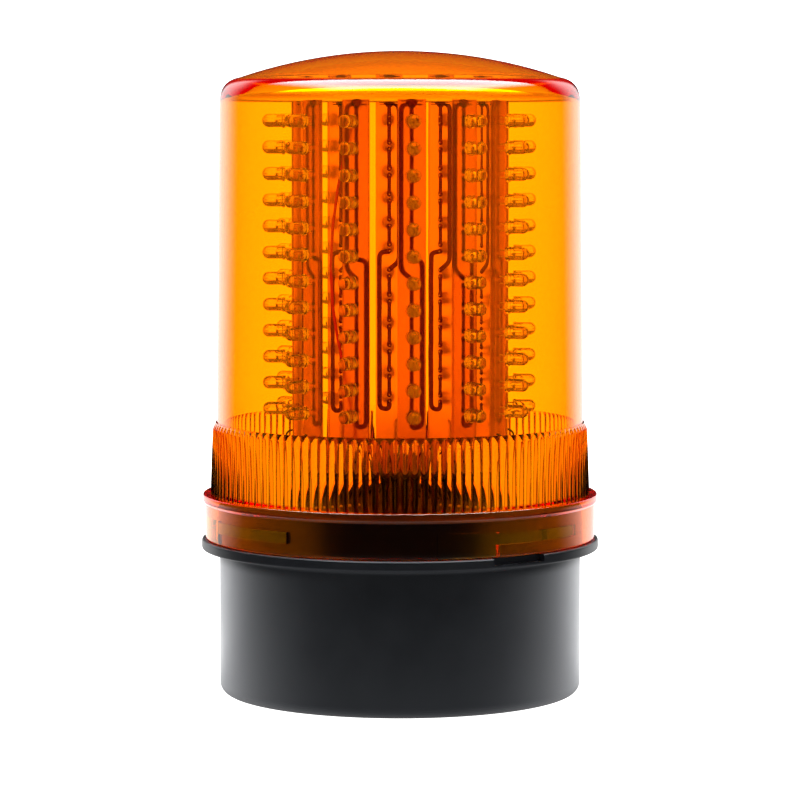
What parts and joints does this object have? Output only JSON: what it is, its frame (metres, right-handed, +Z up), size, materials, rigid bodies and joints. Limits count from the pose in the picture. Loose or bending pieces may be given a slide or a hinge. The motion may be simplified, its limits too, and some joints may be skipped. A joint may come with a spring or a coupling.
{
  "type": "led warning beacon",
  "caption": "Surface-mounted amber LED warning beacon: domed fluted twist-off lens over a ring of upright LED boards on a round cup base.",
  "frame": {"origin": "centre of the mounting face, on the axis of the base", "axes": "+Z up along the beacon's axis, -Y to the front, +X to the right"},
  "size_m": [0.155, 0.155, 0.25],
  "materials": {
    "housing_plastic": "fine satin moulded texture",
    "chassis_plastic": "satin moulded",
    "seal_rubber": "matt",
    "gasket_rubber": "matt foam",
    "screw_steel": "zinc plated",
    "black_board": "glass-epoxy laminate, black solder mask",
    "green_board": "glass-epoxy laminate with solder mask",
    "led_laminate": "bare translucent laminate, solder traces",
    "led_epoxy": "clear epoxy",
    "amber_polycarbonate": "clear amber, polished",
    "terminal_plastic": "moulded",
    "cage_brass": "nickel-plated brass",
    "fuse_ceramic": "glazed ceramic body",
    "varistor_coating": "dipped epoxy",
    "chip_epoxy": "moulded epoxy",
    "copper_winding": "enamelled copper",
    "capacitor_sleeve": "heat-shrunk sleeve",
    "heat_sink_aluminium": "extruded",
    "switch_plastic": "moulded",
    "lever_plastic": "moulded",
    "dark_wire": "insulated wire",
    "tinned_wire": "tinned copper",
    "red_wire": "insulated wire"
  },
  "bodies": {
    "base": {"base_housing": "housing_plastic", "mounting_seal": "seal_rubber", "cable_grommet": "seal_rubber", "base_seal": "seal_rubber", "chassis": "chassis_plastic", "chassis_screws": "screw_steel", "driver_board": "green_board", "board_screws": "screw_steel", "terminal_block": "terminal_plastic", "fuse": "fuse_ceramic", "varistor": "varistor_coating", "bridge_rectifier": "chip_epoxy", "choke": "copper_winding", "smoothing_capacitors": "capacitor_sleeve", "heat_sink": "heat_sink_aluminium", "regulator": "chip_epoxy", "control_chip": "chip_epoxy", "switch_body": "switch_plastic", "tower_base": "black_board", "tower_screws": "screw_steel", "feed_wires": "dark_wire", "link_wires": "tinned_wire", "red_wire": "red_wire", "led_board_01": "led_laminate", "led_board_02": "led_laminate", "led_board_03": "led_laminate", "led_board_04": "led_laminate", "led_board_05": "led_laminate", "led_board_06": "led_laminate", "led_board_07": "led_laminate", "led_board_08": "led_laminate", "led_board_09": "led_laminate", "led_board_10": "led_laminate", "led_board_11": "led_laminate", "led_board_12": "led_laminate", "leds_01": "led_epoxy", "leds_02": "led_epoxy", "leds_03": "led_epoxy", "leds_04": "led_epoxy", "leds_05": "led_epoxy", "leds_06": "led_epoxy", "leds_07": "led_epoxy", "leds_08": "led_epoxy", "leds_09": "led_epoxy", "leds_10": "led_epoxy", "leds_11": "led_epoxy", "leds_12": "led_epoxy"},
    "gasket": {"lens_gasket": "gasket_rubber"},
    "lens": {"lens": "amber_polycarbonate"},
    "lever_1": {"lever_1": "lever_plastic"},
    "lever_2": {"lever_2": "lever_plastic"},
    "lever_3": {"lever_3": "lever_plastic"},
    "lever_4": {"lever_4": "lever_plastic"},
    "terminal_screw_1": {"terminal_screw_1": "screw_steel"},
    "terminal_cage_1": {"terminal_cage_1": "cage_brass"},
    "terminal_screw_2": {"terminal_screw_2": "screw_steel"},
    "terminal_cage_2": {"terminal_cage_2": "cage_brass"},
    "terminal_screw_3": {"terminal_screw_3": "screw_steel"},
    "terminal_cage_3": {"terminal_cage_3": "cage_brass"}
  },
  "joints": [
    {"name": "lens_lift", "type": "slide", "parent": "base", "child": "gasket", "axis": [0, 0, 1], "range_m": [0, 0.175]},
    {"name": "lens_twist", "type": "hinge", "parent": "gasket", "child": "lens", "pos_m": [0, 0, 0.0785], "axis": [0, 0, 1], "range_deg": [0, 34]},
    {"name": "lever_1_slide", "type": "slide", "parent": "base", "child": "lever_1", "axis": [1, 0, 0], "range_m": [0, 0.0016]},
    {"name": "lever_2_slide", "type": "slide", "parent": "base", "child": "lever_2", "axis": [1, 0, 0], "range_m": [0, 0.0016]},
    {"name": "lever_3_slide", "type": "slide", "parent": "base", "child": "lever_3", "axis": [1, 0, 0], "range_m": [0, 0.0016]},
    {"name": "lever_4_slide", "type": "slide", "parent": "base", "child": "lever_4", "axis": [1, 0, 0], "range_m": [0, 0.0016]},
    {"name": "terminal_screw_1_turn", "type": "hinge", "parent": "base", "child": "terminal_screw_1", "pos_m": [-0.0075, -0.034, 0.052], "axis": [0, 0, -1], "range_deg": [0, 1800]},
    {"name": "terminal_cage_1_slide", "type": "slide", "parent": "base", "child": "terminal_cage_1", "axis": [0, 0, 1], "range_m": [0, 0.0025]},
    {"name": "terminal_screw_2_turn", "type": "hinge", "parent": "base", "child": "terminal_screw_2", "pos_m": [0, -0.034, 0.052], "axis": [0, 0, -1], "range_deg": [0, 1800]},
    {"name": "terminal_cage_2_slide", "type": "slide", "parent": "base", "child": "terminal_cage_2", "axis": [0, 0, 1], "range_m": [0, 0.0025]},
    {"name": "terminal_screw_3_turn", "type": "hinge", "parent": "base", "child": "terminal_screw_3", "pos_m": [0.0075, -0.034, 0.052], "axis": [0, 0, -1], "range_deg": [0, 1800]},
    {"name": "terminal_cage_3_slide", "type": "slide", "parent": "base", "child": "terminal_cage_3", "axis": [0, 0, 1], "range_m": [0, 0.0025]}
  ],
  "couplings": [
    {"joint": "terminal_screw_1_turn", "follows": "terminal_cage_1_slide", "rad_per_m": 12566},
    {"joint": "terminal_screw_2_turn", "follows": "terminal_cage_2_slide", "rad_per_m": 12566},
    {"joint": "terminal_screw_3_turn", "follows": "terminal_cage_3_slide", "rad_per_m": 12566}
  ]
}
